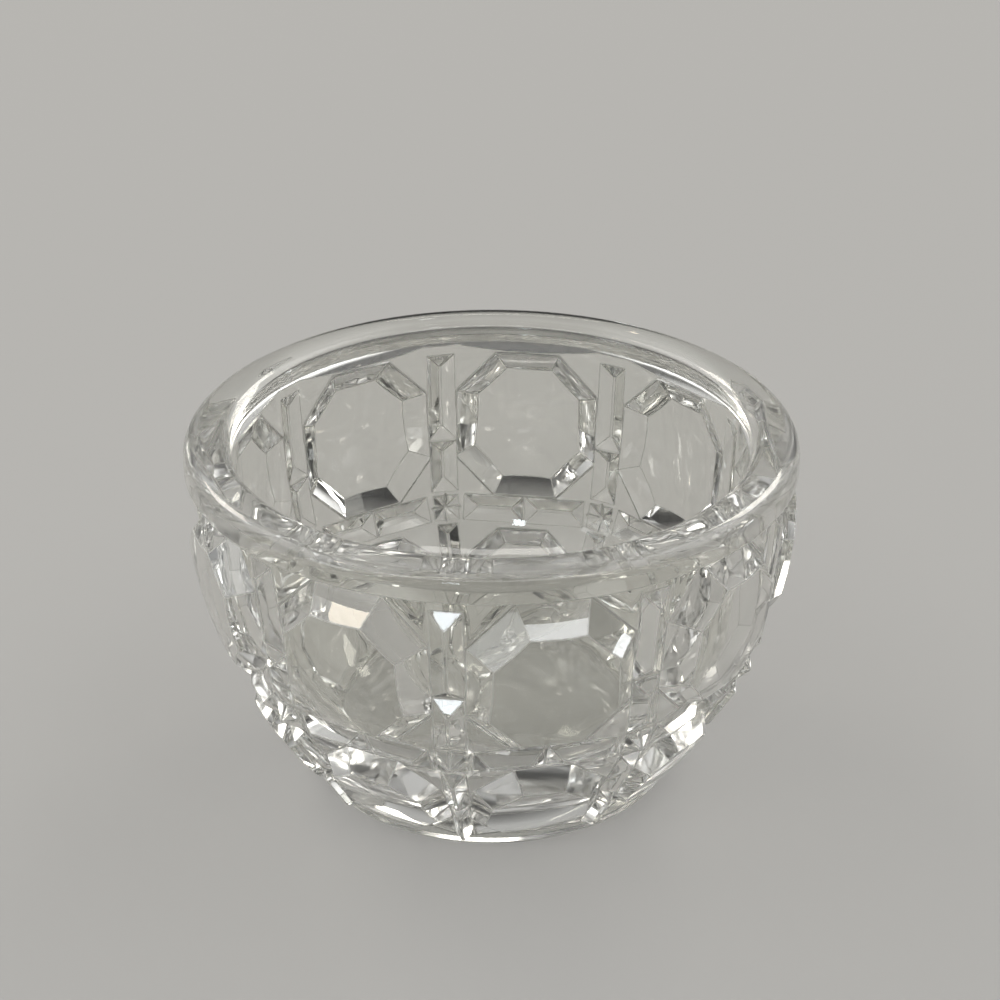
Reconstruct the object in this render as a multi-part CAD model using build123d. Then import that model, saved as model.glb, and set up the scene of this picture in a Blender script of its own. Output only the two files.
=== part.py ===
from build123d import *
import math
import os

# Open salt cellar in one piece of clear pressed glass.
# The frame has its origin at the middle of the base, +Z up, and an octagon column centred on +X.
# All lengths are in millimetres and all angles are in degrees.

# Whole bowl
HEIGHT = 38.1
RIM_DIAMETER = 63.0
BASE_DIAMETER = 38.6
BASE_RING_HEIGHT = 1.0
BASE_EDGE_CHAMFER = 0.4

# Rim: a plain band with a rounded lip over a sloping underside
RIM_THICKNESS = 4.9
RIM_BAND_HEIGHT = 2.8
RIM_UNDERSIDE_DROP = 1.7
RIM_UNDERSIDE_DEPTH = 3.5
LIP_OUTER_ROUND = 1.5
LIP_INNER_ROUND = 1.2

# Wall: the middles of the button faces lie on one arc that is upright at its top
WALL_TOP_BELOW_RIM = 6.1

# Inside: upright below the rim, then one smooth curve down to the middle of the floor
FLOOR_THICKNESS = 5.5
INNER_WALL_HANDLE = 20.0
INNER_FLOOR_HANDLE = 18.0

# Number of short straight steps that stand for each round outline, which keeps the mesh light
LIP_STEPS = 5
BOWL_STEPS = 13

# Pattern layout: columns of octagons parted by upright bands, two rows parted by a level band
COLUMNS = 9
BAND_HALF_ANGLE = 3.9
LEVEL_BAND_MIDDLE = 15.05
LEVEL_BAND_HEIGHT = 3.5

# How far the corners of the bands lie inside the wall arc
TOP_BAND_DEPTH = 1.5
LEVEL_BAND_DEPTH = 1.1
FOOT_BAND_DEPTH = 0.4

# How far the patterned wall reaches into the rim and into the base ring
RIM_TUCK = 1.0
BASE_TUCK = 0.2

# Octagon buttons with slightly domed faces, set by the margins between a face and its cell
UPPER_FACE_SIDE_MARGIN = 1.8
UPPER_FACE_END_MARGIN = 1.95
UPPER_FACE_CORNER = 3.4
UPPER_BEVEL_ANGLE = 55.0
LOWER_FACE_SIDE_MARGIN = 1.2
LOWER_FACE_END_MARGIN = 2.05
LOWER_FACE_CORNER = 2.8
LOWER_BEVEL_ANGLE = 50.0
CROWN_RADIUS = 36.0

# Narrow outer flank of the groove round each button
FLANK_WIDTH = 0.35
FLANK_ANGLE = 50.0

# Hipped bars on the bands, parted a little below the octagons' middles
UPPER_SPLIT_DROP = 2.0
LOWER_SPLIT_DROP = 0.25
BAR_MARGIN = 0.3
BAR_GAP = 0.2
BAR_RISE = 1.2
BAR_RIDGE_FLAT = 0.3

# The star where two bands cross
STAR_RISE = 1.2
STAR_TOP_FLAT = 0.3
STAR_TURNED_SHARE = 0.85

# How far a feature starts below the surface that it stands on, or a cut starts above it
ROOT = 0.5

RIM_RADIUS = RIM_DIAMETER / 2
BASE_RADIUS = BASE_DIAMETER / 2
INNER_RADIUS = RIM_RADIUS - RIM_THICKNESS
RIM_BAND_BOTTOM = HEIGHT - RIM_BAND_HEIGHT
RIM_UNDERSIDE_HEIGHT = RIM_BAND_BOTTOM - RIM_UNDERSIDE_DROP
STEP = 360.0 / COLUMNS
CELL_HALF_ANGLE = STEP / 2 - BAND_HALF_ANGLE
WALL_TOP_HEIGHT = HEIGHT - WALL_TOP_BELOW_RIM
WALL_REACH = RIM_RADIUS - BASE_RADIUS
WALL_RISE = WALL_TOP_HEIGHT - BASE_RING_HEIGHT
WALL_ARC_RADIUS = (WALL_REACH ** 2 + WALL_RISE ** 2) / (2 * WALL_REACH)

# Heights at which the wall changes slope
FOOT_HEIGHT = BASE_RING_HEIGHT - BASE_TUCK
LOWER_ROW_TOP = LEVEL_BAND_MIDDLE - LEVEL_BAND_HEIGHT / 2
UPPER_ROW_BOTTOM = LEVEL_BAND_MIDDLE + LEVEL_BAND_HEIGHT / 2
TOP_HEIGHT = RIM_UNDERSIDE_HEIGHT + RIM_TUCK

# The lowest and highest point of each row of octagons
UPPER_ROW = (UPPER_ROW_BOTTOM, RIM_UNDERSIDE_HEIGHT)
LOWER_ROW = (BASE_RING_HEIGHT, LOWER_ROW_TOP)


def spun(outline):
    """The solid that a closed outline of radius and height points sweeps about the Z axis."""
    return revolve(Plane.XZ * make_face(Polyline(*outline, close=True)), Axis.Z)


def stepped(curve, steps):
    """The points that divide a curve into short steps of one length."""
    return [curve @ (step / steps) for step in range(steps + 1)]


def cavity():
    """The smooth inside of the bowl, running out through the rim."""
    bowl = Bezier(
        (0, FLOOR_THICKNESS),
        (INNER_FLOOR_HANDLE, FLOOR_THICKNESS),
        (INNER_RADIUS, WALL_TOP_HEIGHT - INNER_WALL_HANDLE),
        (INNER_RADIUS, WALL_TOP_HEIGHT),
    )
    mouth_radius = INNER_RADIUS + LIP_INNER_ROUND
    lip = CenterArc((mouth_radius, HEIGHT - LIP_INNER_ROUND), LIP_INNER_ROUND, 180, -90)
    above = HEIGHT + ROOT
    return spun([*stepped(bowl, BOWL_STEPS), *stepped(lip, LIP_STEPS), (mouth_radius, above), (0, above)])


def rim():
    """The plain rim as a full disc with a rounded outer lip; the cavity opens it later."""
    lip = CenterArc((RIM_RADIUS - LIP_OUTER_ROUND, HEIGHT - LIP_OUTER_ROUND), LIP_OUTER_ROUND, 0, 90)
    return spun([
        (0, RIM_UNDERSIDE_HEIGHT),
        (RIM_RADIUS - RIM_UNDERSIDE_DEPTH, RIM_UNDERSIDE_HEIGHT),
        (RIM_RADIUS, RIM_BAND_BOTTOM),
        *stepped(lip, LIP_STEPS),
        (0, HEIGHT),
    ])


def base_ring():
    """The plain disc that the bowl stands on."""
    disc = extrude(Circle(BASE_RADIUS), BASE_RING_HEIGHT)
    foot_edge = disc.edges().filter_by(GeomType.CIRCLE).sort_by(Axis.Z)[0]
    return chamfer(foot_edge, BASE_EDGE_CHAMFER)


def frustum(low, high):
    """A block with flat sides between two outlines that have the same number of corners."""
    outlines = [list(reversed(low)), high]
    for here in range(len(low)):
        after = (here + 1) % len(low)
        outlines.append([low[here], low[after], high[after], high[here]])
    return Solid(Shell([Face(Wire.make_polygon(outline, close=True)) for outline in outlines]))


def ring_corners(diameter, height):
    """The corners of the faceted wall at one height: two at each upright band."""
    corners = []
    for column in range(COLUMNS):
        for side in (-1, 1):
            turn = math.radians((column + 0.5) * STEP + side * BAND_HALF_ANGLE)
            corners.append((diameter / 2 * math.cos(turn), diameter / 2 * math.sin(turn), height))
    return corners


def wall_lean(height):
    """How far the wall arc leans out of the upright at a height, in radians."""
    return math.asin(max(WALL_TOP_HEIGHT - height, 0) / WALL_ARC_RADIUS)


def wall_radius(height):
    """The radius of the wall arc at a height."""
    return RIM_RADIUS - WALL_ARC_RADIUS * (1 - math.cos(wall_lean(height)))


def band_diameter(height, depth):
    """The diameter across the band corners, which lie a depth inside the wall arc."""
    return 2 * (wall_radius(height) - depth)


# Diameter across the band corners at each height where the wall changes slope
FOOT_DIAMETER = band_diameter(FOOT_HEIGHT, FOOT_BAND_DEPTH)
LOWER_TOP_DIAMETER = band_diameter(LOWER_ROW_TOP, LEVEL_BAND_DEPTH)
UPPER_BOTTOM_DIAMETER = band_diameter(UPPER_ROW_BOTTOM, LEVEL_BAND_DEPTH)
TOP_DIAMETER = band_diameter(TOP_HEIGHT, TOP_BAND_DEPTH)

# Lower and upper diameter and height of each tier of the faceted wall
LOWER_TIER = (FOOT_DIAMETER, FOOT_HEIGHT, LOWER_TOP_DIAMETER, LOWER_ROW_TOP)
MIDDLE_TIER = (LOWER_TOP_DIAMETER, LOWER_ROW_TOP, UPPER_BOTTOM_DIAMETER, UPPER_ROW_BOTTOM)
UPPER_TIER = (UPPER_BOTTOM_DIAMETER, UPPER_ROW_BOTTOM, TOP_DIAMETER, TOP_HEIGHT)


def faceted_wall():
    """The wall at the level of the bands, with one flat facet to each band and each cell."""
    wall = Part()
    for low_diameter, low_height, high_diameter, high_height in (LOWER_TIER, MIDDLE_TIER, UPPER_TIER):
        wall += frustum(ring_corners(low_diameter, low_height), ring_corners(high_diameter, high_height))
    return wall


def diameter_at(tier, height):
    """The diameter across a tier's band corners at a height."""
    low_diameter, low_height, high_diameter, high_height = tier
    return low_diameter + (high_diameter - low_diameter) * (height - low_height) / (high_height - low_height)


def facet_plane(tier, turn, half_angle, height):
    """The plane of one facet of a tier: X level to the left, Y up the slope, Z out of the wall."""
    low_diameter, low_height, high_diameter, high_height = tier
    flat = math.cos(math.radians(half_angle)) / 2
    angle = math.radians(turn)
    out = Vector(math.cos(angle), math.sin(angle), 0)
    level = Vector(-math.sin(angle), math.cos(angle), 0)
    slope = out * (high_diameter - low_diameter) * flat + Vector(0, 0, high_height - low_height)
    origin = out * diameter_at(tier, height) * flat + Vector(0, 0, height)
    return Plane(origin=origin, x_dir=level, z_dir=level.cross(slope))


def cell_plane(tier, height):
    """The plane of a facet of the first cell, between two bands."""
    return facet_plane(tier, 0.0, CELL_HALF_ANGLE, height)


def band_plane(tier, height):
    """The plane of a facet on the upright band next to the first cell."""
    return facet_plane(tier, STEP / 2, BAND_HALF_ANGLE, height)


def octagon(plane, width, height, corner, grow, lift):
    """The corners of an octagon that is grown outward all round and lifted off its plane."""
    far_x = width / 2 + grow
    far_y = height / 2 + grow
    cut = corner + grow * (2 - math.sqrt(2))
    near_x = far_x - cut
    near_y = far_y - cut
    corners = [
        (far_x, near_y), (near_x, far_y), (-near_x, far_y), (-far_x, near_y),
        (-far_x, -near_y), (-near_x, -far_y), (near_x, -far_y), (far_x, -near_y),
    ]
    return [plane.from_local_coords((x, y, lift)) for x, y in corners]


def rectangle(plane, width, length, lift):
    """The corners of a rectangle lifted off its plane."""
    corners = [(1, 1), (-1, 1), (-1, -1), (1, -1)]
    return [plane.from_local_coords((x * width / 2, y * length / 2, lift)) for x, y in corners]


def run_per_rise(angle):
    """How far a slope of this angle runs for each millimetre that it rises."""
    return 1 / math.tan(math.radians(angle))


def crown_centre(middle):
    """The centre of the ball that domes a button's face, square to the wall arc at this height."""
    lean = wall_lean(middle)
    reach = wall_radius(middle) - CROWN_RADIUS * math.cos(lean)
    return Vector(reach, 0, middle + CROWN_RADIUS * math.sin(lean))


def face_height(plane, centre, offset):
    """How far the domed face stands out of its facet, at a sideways distance from its middle."""
    start = plane.origin + plane.x_dir * offset - centre
    along = start.dot(plane.z_dir)
    return math.sqrt(along ** 2 - start.dot(start) + CROWN_RADIUS ** 2) - along


def groove_depth(bevel):
    """How far below its facet a button's bevel meets the outer flank of its groove."""
    return FLANK_WIDTH / (run_per_rise(bevel) + run_per_rise(FLANK_ANGLE))


def face_size(plane, tier, row, side_margin, end_margin):
    """The width and height of a button's face, which leaves its margins free round the cell."""
    low, high = row
    cell_width = diameter_at(tier, (low + high) / 2) * math.sin(math.radians(CELL_HALF_ANGLE))
    cell_height = (high - low) / plane.y_dir.Z
    return cell_width - 2 * side_margin, cell_height - 2 * end_margin


def button(tier, row, side_margin, end_margin, corner, bevel):
    """One octagon button: a bevelled block, rooted below its groove and domed by a ball."""
    plane = cell_plane(tier, sum(row) / 2)
    width, height = face_size(plane, tier, row, side_margin, end_margin)
    centre = crown_centre(sum(row) / 2)
    edge = face_height(plane, centre, width / 2)
    top = face_height(plane, centre, 0) + ROOT
    foot = groove_depth(bevel) + 2 * ROOT
    low = octagon(plane, width, height, corner, (edge + foot) * run_per_rise(bevel), -foot)
    high = octagon(plane, width, height, corner, (edge - top) * run_per_rise(bevel), top)
    ball = Pos(centre.X, centre.Y, centre.Z) * Rot(0, 0, 180) * Sphere(CROWN_RADIUS)
    return (Part() + frustum(low, high)) & ball


def pocket(tier, row, side_margin, end_margin, corner, bevel):
    """The cut that leaves a narrow flank on the outer side of a button's groove."""
    plane = cell_plane(tier, sum(row) / 2)
    width, height = face_size(plane, tier, row, side_margin, end_margin)
    edge = face_height(plane, crown_centre(sum(row) / 2), width / 2)
    mouth = edge * run_per_rise(bevel) + FLANK_WIDTH
    depth = groove_depth(bevel) + ROOT
    low = octagon(plane, width, height, corner, mouth - depth * run_per_rise(FLANK_ANGLE), -depth)
    high = octagon(plane, width, height, corner, mouth + ROOT * run_per_rise(FLANK_ANGLE), ROOT)
    return frustum(low, high)


UPPER_BUTTON = (
    UPPER_TIER, UPPER_ROW, UPPER_FACE_SIDE_MARGIN, UPPER_FACE_END_MARGIN, UPPER_FACE_CORNER, UPPER_BEVEL_ANGLE
)
LOWER_BUTTON = (
    LOWER_TIER, LOWER_ROW, LOWER_FACE_SIDE_MARGIN, LOWER_FACE_END_MARGIN, LOWER_FACE_CORNER, LOWER_BEVEL_ANGLE
)


def roof(plane, width, length, rise, flat):
    """A low hipped block on a plane, ending in a narrow flat."""
    run = (min(width, length) - flat) / 2
    spread = 2 * ROOT * run / rise
    low = rectangle(plane, width + spread, length + spread, -ROOT)
    high = rectangle(plane, width - 2 * run, length - 2 * run, rise)
    return frustum(low, high)


def band_width(diameter):
    """The width of an upright band where the wall has this diameter across its corners."""
    return diameter * math.sin(math.radians(BAND_HALF_ANGLE))


def upright_bars(tier, row, split_drop):
    """The two hipped bars of one upright band in one row, parted just below the octagon's middle."""
    bottom, top = row
    split = (bottom + top) / 2 - split_drop
    bars = []
    for low, high in ((bottom, split), (split, top)):
        plane = band_plane(tier, (low + high) / 2)
        length = (high - low) / plane.y_dir.Z - BAR_GAP
        width = band_width(diameter_at(tier, low)) - 2 * BAR_MARGIN
        bars.append(roof(plane, width, length, BAR_RISE, BAR_RIDGE_FLAT))
    return bars


def level_bars():
    """The two hipped bars of the level band under one octagon."""
    plane = cell_plane(MIDDLE_TIER, LEVEL_BAND_MIDDLE)
    cell = LOWER_TOP_DIAMETER * math.sin(math.radians(CELL_HALF_ANGLE))
    width = cell / 2 - BAR_GAP
    height = LEVEL_BAND_HEIGHT / plane.y_dir.Z - 2 * BAR_MARGIN
    bars = []
    for side in (-1, 1):
        spot = Plane(plane.origin + plane.x_dir * (side * cell / 4), x_dir=plane.x_dir, z_dir=plane.z_dir)
        bars.append(roof(spot, width, height, BAR_RISE, BAR_RIDGE_FLAT))
    return bars


def crossing_star():
    """Two low pyramids turned against each other where the bands cross."""
    plane = band_plane(MIDDLE_TIER, LEVEL_BAND_MIDDLE)
    turned = Plane(plane.origin, x_dir=plane.x_dir + plane.y_dir, z_dir=plane.z_dir)
    height = LEVEL_BAND_HEIGHT / plane.y_dir.Z
    size = min(band_width(LOWER_TOP_DIAMETER), height) - 2 * BAR_MARGIN
    turned_size = size * STAR_TURNED_SHARE
    return [
        roof(plane, size, size, STAR_RISE, STAR_TOP_FLAT),
        roof(turned, turned_size, turned_size, STAR_RISE, STAR_TOP_FLAT),
    ]


def round_the_axis(features):
    """Copy the features of the first column to every column."""
    copies = []
    for column in range(COLUMNS):
        copies += [Rot(0, 0, column * STEP) * feature for feature in features]
    return copies


def glass_bowl():
    """The whole cellar as one solid."""
    wall = faceted_wall() - round_the_axis([pocket(*UPPER_BUTTON), pocket(*LOWER_BUTTON)])
    raised = [button(*UPPER_BUTTON), button(*LOWER_BUTTON)]
    raised += upright_bars(UPPER_TIER, UPPER_ROW, UPPER_SPLIT_DROP)
    raised += upright_bars(LOWER_TIER, LOWER_ROW, LOWER_SPLIT_DROP)
    raised += level_bars()
    raised += crossing_star()
    body = wall + round_the_axis(raised)
    return body + rim() + base_ring() - cavity()


def main():
    os.makedirs("parts", exist_ok=True)
    bowl = glass_bowl()
    print("valid", bowl.is_valid, "volume", round(bowl.volume, 1), "solids", len(bowl.solids()),
          "shells", len(bowl.shells()), "faces", len(bowl.faces()))
    export_step(bowl, "parts/glass_bowl.step")


main()
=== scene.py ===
import math

import bmesh
import bpy
from mathutils import Matrix, Vector


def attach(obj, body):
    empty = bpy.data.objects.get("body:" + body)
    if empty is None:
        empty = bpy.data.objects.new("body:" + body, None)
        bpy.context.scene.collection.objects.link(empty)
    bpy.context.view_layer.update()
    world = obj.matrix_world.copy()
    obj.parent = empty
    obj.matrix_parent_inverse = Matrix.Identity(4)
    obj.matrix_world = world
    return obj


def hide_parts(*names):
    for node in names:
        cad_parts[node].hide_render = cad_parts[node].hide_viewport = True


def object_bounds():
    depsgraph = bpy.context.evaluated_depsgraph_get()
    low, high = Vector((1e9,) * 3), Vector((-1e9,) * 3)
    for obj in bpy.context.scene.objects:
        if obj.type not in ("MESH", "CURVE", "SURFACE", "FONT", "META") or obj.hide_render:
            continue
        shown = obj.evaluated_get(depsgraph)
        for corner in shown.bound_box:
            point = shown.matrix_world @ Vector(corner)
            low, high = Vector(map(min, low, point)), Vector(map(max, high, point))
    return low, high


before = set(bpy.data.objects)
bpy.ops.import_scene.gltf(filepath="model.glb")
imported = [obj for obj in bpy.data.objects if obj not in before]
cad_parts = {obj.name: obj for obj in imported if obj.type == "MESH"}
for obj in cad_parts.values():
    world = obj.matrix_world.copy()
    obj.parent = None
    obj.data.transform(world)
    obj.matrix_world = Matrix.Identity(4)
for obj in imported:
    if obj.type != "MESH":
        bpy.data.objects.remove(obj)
cad_low, cad_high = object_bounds()

MM = 0.001
QUARTER_TURN = math.radians(90)
scene = bpy.context.scene

# The bowl that is seen is a welded copy of the CAD node, so that its smooth faces shade as one.
BOWL_NODE = "glass_bowl"
WELD_DISTANCE = 0.002 * MM
CREASE_ANGLE = math.radians(20)

# Clear soda-lime glass, with the faint grey-green warmth of old pressed ware. The tint drifts slowly.
GLASS_IOR = 1.52
CLEAR_TINT = (0.93, 0.925, 0.89, 1)
DEEP_TINT = (0.9, 0.905, 0.87, 1)
TINT_SCALE = 45.0
TINT_DETAIL = 1.0

# Pressed edges are fire-polished: rounded a little, and given a painted highlight that makes every
# edge pale.
EDGE_ROUND = 0.22 * MM
EDGE_SAMPLES = 6
EDGE_GAIN = 22.0
EDGE_PAINTED_HIGHLIGHT = 1.0

# The mould leaves a slow ripple, faint cloudiness and a slightly uneven polish.
RIPPLE_SCALE = 180.0
RIPPLE_DETAIL = 1.0
RIPPLE_DEPTH = 0.045 * MM
CLOUD_SCALE = 60.0
CLOUD_DETAIL = 2.0
CLOUD_PALENESS = 0.04
POLISH_SCALE = 140.0
POLISH_DETAIL = 2.0
POLISH_NOISE_RANGE = (0.35, 0.7)
POLISH_ROUGHNESS = (0.0, 0.012)

# Long use has scuffed the foot dull where it stands.
WEAR_HEIGHT = 0.7 * MM
WEAR_ROUGHNESS = 0.06

# The floor is plain and pale. Far from the bowl its edge sweeps up and fades to a dark backdrop,
# which the lower bevels of the glass show as dark accents. Lengths without MM are in metres.
FLOOR_COLOUR = (0.47, 0.462, 0.444, 1)
BACKDROP_COLOUR = (0.1, 0.1, 0.1, 1)
FLOOR_EVENNESS = 0.55
FLOOR_ROUGHNESS = 0.9
FLOOR_RADIUS = 2.6
SWEEP_RADIUS = 0.4
SWEEP_STEPS = 12
FLOOR_SEGMENTS = 96
FLOOR_GAP = 0.02 * MM

# Studio light by direction, as stops of (share of the axis, level). The room is dark low down, two
# broad soft lights stand high on the left and right with a dark gap between them, and a dim wall
# stands behind. With the lamps, the strength makes the floor render as its colour is written.
WORLD_STRENGTH = 1.133
LEVEL_BY_HEIGHT = ((0.0, 0.04), (0.35, 0.05), (0.48, 0.3), (0.62, 1.5), (1.0, 2.2))
LEVEL_ACROSS = ((-0.5, 1.0), (-0.35, 0.08), (0.3, 0.08), (0.45, 1.0))
LEVEL_FRONT_TO_BACK = ((-1.0, 0.25), (-0.4, 0.5), (0.1, 1.0))
LEVEL_OF_BACK_WALL = ((0.5, 0.0), (0.62, 0.42), (0.84, 0.42), (0.93, 0.05))
NEW_STOP_PLACE = 0.5

WARM_WHITE = (1, 0.94, 0.84)
SOFT_WHITE = (1, 0.96, 0.88)
STRIP_WHITE = (1, 0.98, 0.94)
COOL_WHITE = (0.95, 0.98, 1)
SKY_WHITE = (0.88, 0.95, 1)
AMBER_WHITE = (1, 0.88, 0.7)

# Two back lamps make the streaks along the rim, a sheen and a strip lighten the bevels at the front,
# and small lamps make the glints on the facets. Turn and rise are in degrees, and size is in metres.
LAMP_AIM = (0.0, 0.0, 0.02)
LAMP_DISTANCE = 0.9
LAMPS = (
    {
        "name": "left_back_lamp", "turn": 132, "rise": 38,
        "size": (0.3, 0.2), "watts": 1.15, "colour": WARM_WHITE,
    },
    {
        "name": "right_back_lamp", "turn": 58, "rise": 38,
        "size": (0.3, 0.2), "watts": 1.15, "colour": SOFT_WHITE,
    },
    {
        "name": "window_glint", "turn": -107, "rise": 35,
        "size": (0.08, 0.06), "watts": 0.27, "colour": SKY_WHITE,
    },
    {
        "name": "left_glint", "turn": -166, "rise": 53,
        "size": (0.05, 0.04), "watts": 0.07, "colour": AMBER_WHITE,
    },
    {
        "name": "top_glint", "turn": -54, "rise": 63,
        "size": (0.08, 0.06), "watts": 0.12, "colour": COOL_WHITE,
    },
    {
        "name": "left_sheen", "turn": -151, "rise": 24,
        "size": (0.25, 0.2), "watts": 0.47, "colour": COOL_WHITE,
    },
    {
        "name": "front_strip", "turn": -92, "rise": 57,
        "size": (1.1, 0.08), "watts": 1.4, "colour": STRIP_WHITE,
    },
    {
        "name": "right_glint", "turn": 9, "rise": 9,
        "size": (0.08, 0.06), "watts": 0.18, "colour": COOL_WHITE,
    },
)

# The camera stands in front of the bowl and a little to its left, as the photograph's did.
CAMERA_TURN = math.radians(-1.8)
CAMERA_PLACE = (0.86 * MM, -248.0 * MM, 159.54 * MM)
CAMERA_DIP = math.radians(27.61)
CAMERA_LENS = 97.2
CAMERA_SENSOR = 36.0
CAMERA_NEAREST = 0.005
CAMERA_FURTHEST = 20.0

GLASS_BOUNCES = 32
GLOSS_BOUNCES = 16


# Small helpers for node trees

def add_node(tree, kind, **settings):
    """A new node with some of its settings changed."""
    node = tree.nodes.new(kind)
    for name, value in settings.items():
        setattr(node, name, value)
    return node


def feed(tree, socket, value):
    """Gives a socket a link or a plain value."""
    if isinstance(value, bpy.types.NodeSocket):
        tree.links.new(value, socket)
    else:
        socket.default_value = value


def maths(tree, operation, first, second, clamp=False):
    """A sum, difference, product or greater value of two numbers."""
    node = add_node(tree, "ShaderNodeMath", operation=operation, use_clamp=clamp)
    feed(tree, node.inputs[0], first)
    feed(tree, node.inputs[1], second)
    return node.outputs[0]


def spread(tree, value, source, target):
    """Maps a value from one range to another and holds it at the ends."""
    node = add_node(tree, "ShaderNodeMapRange", clamp=True)
    feed(tree, node.inputs["Value"], value)
    feed(tree, node.inputs["From Min"], source[0])
    feed(tree, node.inputs["From Max"], source[1])
    feed(tree, node.inputs["To Min"], target[0])
    feed(tree, node.inputs["To Max"], target[1])
    return node.outputs["Result"]


def blend_colour(tree, mode, share, first, second):
    """Two colours mixed, multiplied or added."""
    node = add_node(tree, "ShaderNodeMixRGB", blend_type=mode)
    feed(tree, node.inputs["Fac"], share)
    feed(tree, node.inputs["Color1"], first)
    feed(tree, node.inputs["Color2"], second)
    return node.outputs["Color"]


def noise(tree, place, scale, detail):
    """A smooth cloud of values between nought and one."""
    node = add_node(tree, "ShaderNodeTexNoise")
    feed(tree, node.inputs["Vector"], place)
    feed(tree, node.inputs["Scale"], scale)
    feed(tree, node.inputs["Detail"], detail)
    return node.outputs["Fac"]


def split_axes(tree, place):
    """The X, Y and Z outputs of a place or a direction."""
    node = add_node(tree, "ShaderNodeSeparateXYZ")
    feed(tree, node.inputs[0], place)
    return node.outputs


# The bowl

def welded_bowl():
    """A copy of the CAD bowl with one shared vertex per corner and creases only at real edges."""
    mesh = bpy.data.meshes.new("pressed_glass_bowl")
    shape = bmesh.new()
    shape.from_mesh(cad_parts[BOWL_NODE].data)
    bmesh.ops.remove_doubles(shape, verts=shape.verts, dist=WELD_DISTANCE)
    for face in shape.faces:
        face.smooth = True
    for edge in shape.edges:
        edge.smooth = edge.is_manifold and edge.calc_face_angle() < CREASE_ANGLE
    shape.to_mesh(mesh)
    shape.free()
    bowl = bpy.data.objects.new("pressed_glass_bowl", mesh)
    scene.collection.objects.link(bowl)
    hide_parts(BOWL_NODE)
    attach(bowl, "root")
    return bowl


def rounded_normal(tree):
    """The surface's direction with its edges rounded off."""
    node = add_node(tree, "ShaderNodeBevel", samples=EDGE_SAMPLES)
    feed(tree, node.inputs["Radius"], EDGE_ROUND)
    return node.outputs["Normal"]


def edge_share(tree, rounded):
    """One on an edge, where the rounded normal leaves the face's own, and nought on a face."""
    faces = add_node(tree, "ShaderNodeNewGeometry")
    agree = add_node(tree, "ShaderNodeVectorMath", operation="DOT_PRODUCT")
    feed(tree, agree.inputs[0], rounded)
    feed(tree, agree.inputs[1], faces.outputs["Normal"])
    bend = maths(tree, "SUBTRACT", 1.0, agree.outputs["Value"])
    return maths(tree, "MULTIPLY", bend, EDGE_GAIN, clamp=True)


def painted_edge_highlight_and_cloud(tree, place, rounded):
    """A painted highlight on every edge and a faint cloudiness, as the share of the glass that isn't
    clear.
    """
    edges = maths(tree, "MULTIPLY", edge_share(tree, rounded), EDGE_PAINTED_HIGHLIGHT)
    cloud = maths(tree, "MULTIPLY", noise(tree, place, CLOUD_SCALE, CLOUD_DETAIL), CLOUD_PALENESS)
    return maths(tree, "ADD", edges, cloud, clamp=True)


def rippled_normal(tree, place, rounded):
    """The rounded direction, shaken a little by the mould's ripple."""
    node = add_node(tree, "ShaderNodeBump")
    feed(tree, node.inputs["Distance"], RIPPLE_DEPTH)
    feed(tree, node.inputs["Height"], noise(tree, place, RIPPLE_SCALE, RIPPLE_DETAIL))
    feed(tree, node.inputs["Normal"], rounded)
    return node.outputs["Normal"]


def glass_roughness(tree, place):
    """Polish that wanders a little, and wear on the foot."""
    unevenness = noise(tree, place, POLISH_SCALE, POLISH_DETAIL)
    polish = spread(tree, unevenness, POLISH_NOISE_RANGE, POLISH_ROUGHNESS)
    height = split_axes(tree, place)["Z"]
    wear = spread(tree, height, (WEAR_HEIGHT, 0.0), (0.0, WEAR_ROUGHNESS))
    return maths(tree, "ADD", polish, wear)


def glass_material():
    """Clear pressed glass."""
    material = bpy.data.materials.new("clear_pressed_glass")
    material.use_nodes = True
    tree = material.node_tree
    glass = tree.nodes["Principled BSDF"]
    glass.inputs["IOR"].default_value = GLASS_IOR
    place = add_node(tree, "ShaderNodeTexCoord").outputs["Object"]
    rounded = rounded_normal(tree)
    edge_highlight_and_cloud = painted_edge_highlight_and_cloud(tree, place, rounded)
    drift = noise(tree, place, TINT_SCALE, TINT_DETAIL)
    feed(tree, glass.inputs["Base Color"], blend_colour(tree, "MIX", drift, CLEAR_TINT, DEEP_TINT))
    # The painted edge highlight and the cloudiness take clearness away, so those places show pale.
    feed(tree, glass.inputs["Transmission Weight"], maths(tree, "SUBTRACT", 1.0, edge_highlight_and_cloud))
    feed(tree, glass.inputs["Roughness"], glass_roughness(tree, place))
    feed(tree, glass.inputs["Normal"], rippled_normal(tree, place, rounded))
    return material


# The studio

def rays_that_see(tree):
    """One for the camera's rays and for what glass mirrors or lets through, and nought for light."""
    rays = add_node(tree, "ShaderNodeLightPath").outputs
    seen = maths(tree, "MAXIMUM", rays["Is Camera Ray"], rays["Is Glossy Ray"])
    return maths(tree, "MAXIMUM", seen, rays["Is Transmission Ray"])


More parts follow.
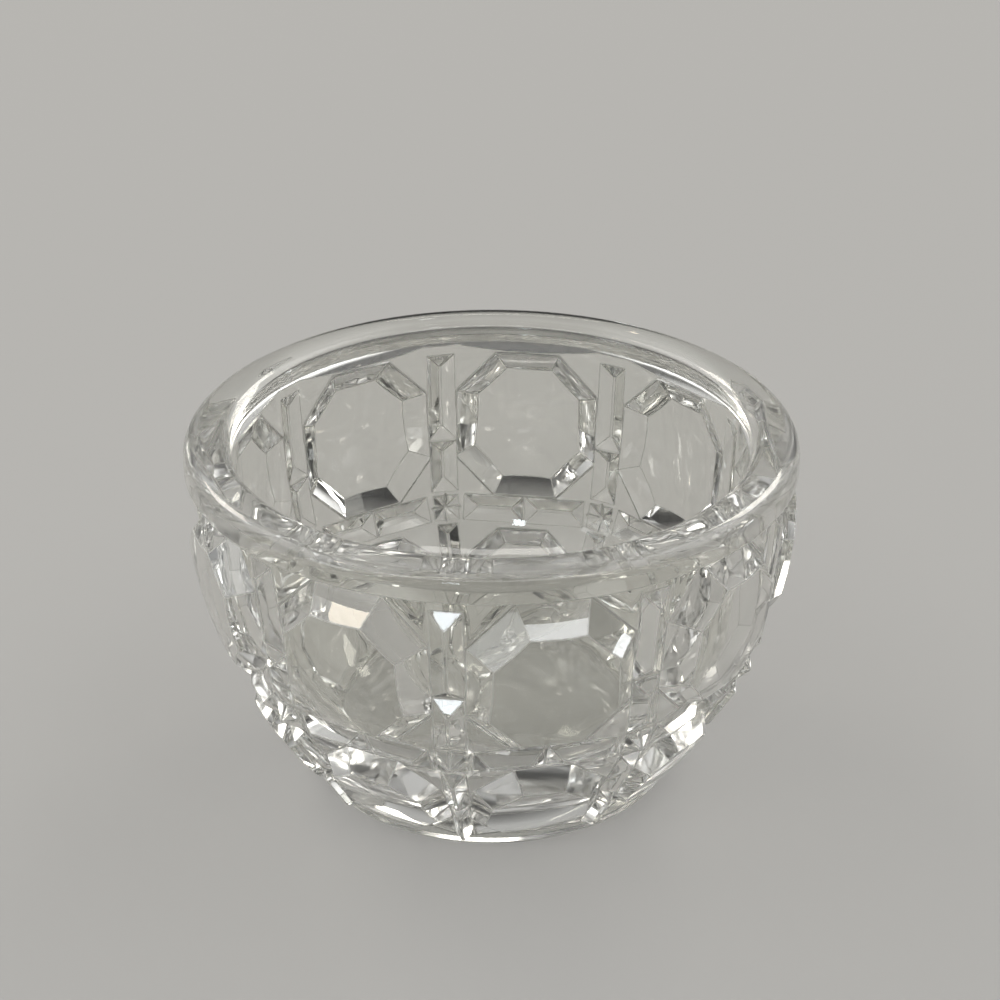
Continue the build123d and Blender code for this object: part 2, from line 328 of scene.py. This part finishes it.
def floor_material():
    """Pale and plain. Part of its colour is shown evenly, and the rest takes light and shadow."""
    material = bpy.data.materials.new("pale_floor")
    material.use_nodes = True
    tree = material.node_tree
    height = split_axes(tree, add_node(tree, "ShaderNodeTexCoord").outputs["Object"])["Z"]
    climb = spread(tree, height, (0.0, SWEEP_RADIUS), (0.0, 1.0))
    colour = blend_colour(tree, "MIX", climb, FLOOR_COLOUR, BACKDROP_COLOUR)
    surface = tree.nodes["Principled BSDF"]
    surface.inputs["Roughness"].default_value = FLOOR_ROUGHNESS
    feed(tree, surface.inputs["Base Color"], colour)
    even = add_node(tree, "ShaderNodeEmission")
    feed(tree, even.inputs["Color"], colour)
    mix = add_node(tree, "ShaderNodeMixShader")
    feed(tree, mix.inputs["Fac"], maths(tree, "MULTIPLY", rays_that_see(tree), FLOOR_EVENNESS))
    tree.links.new(surface.outputs["BSDF"], mix.inputs[1])
    tree.links.new(even.outputs["Emission"], mix.inputs[2])
    tree.links.new(mix.outputs["Shader"], tree.nodes["Material Output"].inputs["Surface"])
    return material


def ring(disc, radius, height):
    """One ring of corners of the floor."""
    corners = []
    for step in range(FLOOR_SEGMENTS):
        turn = math.tau * step / FLOOR_SEGMENTS
        corners.append(disc.verts.new((radius * math.cos(turn), radius * math.sin(turn), height)))
    return corners


def floor_mesh():
    """A round floor whose edge sweeps up, so that a low view doesn't look past it."""
    disc = bmesh.new()
    inner = ring(disc, FLOOR_RADIUS, 0.0)
    disc.faces.new(inner)
    for step in range(1, SWEEP_STEPS + 1):
        climb = QUARTER_TURN * step / SWEEP_STEPS
        radius = FLOOR_RADIUS + SWEEP_RADIUS * math.sin(climb)
        height = SWEEP_RADIUS * (1 - math.cos(climb))
        outer = ring(disc, radius, height)
        for side in range(FLOOR_SEGMENTS):
            disc.faces.new((inner[side - 1], outer[side - 1], outer[side], inner[side]))
        inner = outer
    for face in disc.faces:
        face.smooth = True
    mesh = bpy.data.meshes.new("floor")
    disc.to_mesh(mesh)
    disc.free()
    return mesh


def pale_floor():
    """The floor, a hair below the bowl's foot."""
    mesh = floor_mesh()
    mesh.materials.append(floor_material())
    floor = bpy.data.objects.new("floor", mesh)
    floor.location.z = cad_low[2] - FLOOR_GAP
    scene.collection.objects.link(floor)


def level_along(tree, axis, stops):
    """A grey level that follows one axis of the direction looked in."""
    share = spread(tree, axis, (-1.0, 1.0), (0.0, 1.0))
    node = add_node(tree, "ShaderNodeValToRGB")
    ramp = node.color_ramp
    while len(ramp.elements) < len(stops):
        ramp.elements.new(NEW_STOP_PLACE)
    for element, (position, level) in zip(ramp.elements, stops):
        element.position = (position + 1) / 2
        element.color = (level, level, level, 1)
    feed(tree, node.inputs["Fac"], share)
    return node.outputs["Color"]


def studio_world():
    """The soft light of the room, by direction."""
    world = bpy.data.worlds.new("studio")
    world.use_nodes = True
    scene.world = world
    tree = world.node_tree
    axes = split_axes(tree, add_node(tree, "ShaderNodeTexCoord").outputs["Generated"])
    across = level_along(tree, axes["X"], LEVEL_ACROSS)
    along = level_along(tree, axes["Y"], LEVEL_FRONT_TO_BACK)
    height = level_along(tree, axes["Z"], LEVEL_BY_HEIGHT)
    wall = level_along(tree, axes["Y"], LEVEL_OF_BACK_WALL)
    level = blend_colour(tree, "MULTIPLY", 1.0, across, along)
    level = blend_colour(tree, "MULTIPLY", 1.0, level, height)
    light = tree.nodes["Background"]
    feed(tree, light.inputs["Color"], blend_colour(tree, "ADD", 1.0, level, wall))
    light.inputs["Strength"].default_value = WORLD_STRENGTH


def lamp(name, turn, rise, size, watts, colour):
    """A soft lamp at a turn round the bowl and a rise above the floor, itself out of the picture."""
    light = bpy.data.lights.new(name, "AREA")
    light.shape = "RECTANGLE"
    light.size, light.size_y = size
    light.energy = watts
    light.color = colour
    stand = bpy.data.objects.new(name, light)
    reach = LAMP_DISTANCE * math.cos(math.radians(rise))
    height = LAMP_DISTANCE * math.sin(math.radians(rise))
    turned = math.radians(turn)
    stand.location = (reach * math.cos(turned), reach * math.sin(turned), height)
    aim = Vector(LAMP_AIM) - stand.location
    stand.rotation_euler = aim.to_track_quat("-Z", "Y").to_euler()
    stand.visible_camera = False
    scene.collection.objects.link(stand)


def photo_camera():
    """The camera, at the photograph's viewing angle."""
    lens = bpy.data.cameras.new("camera")
    lens.sensor_width = CAMERA_SENSOR
    lens.lens = CAMERA_LENS
    lens.clip_start = CAMERA_NEAREST
    lens.clip_end = CAMERA_FURTHEST
    camera = bpy.data.objects.new("camera", lens)
    camera.location = Matrix.Rotation(CAMERA_TURN, 4, "Z") @ Vector(CAMERA_PLACE)
    camera.rotation_euler = (QUARTER_TURN - CAMERA_DIP, 0, CAMERA_TURN)
    scene.collection.objects.link(camera)
    scene.camera = camera


scene.view_settings.view_transform = "Standard"
scene.cycles.max_bounces = GLASS_BOUNCES
scene.cycles.transmission_bounces = GLASS_BOUNCES
scene.cycles.glossy_bounces = GLOSS_BOUNCES

bowl = welded_bowl()
bowl.data.materials.append(glass_material())
pale_floor()
studio_world()
for settings in LAMPS:
    lamp(**settings)
photo_camera()
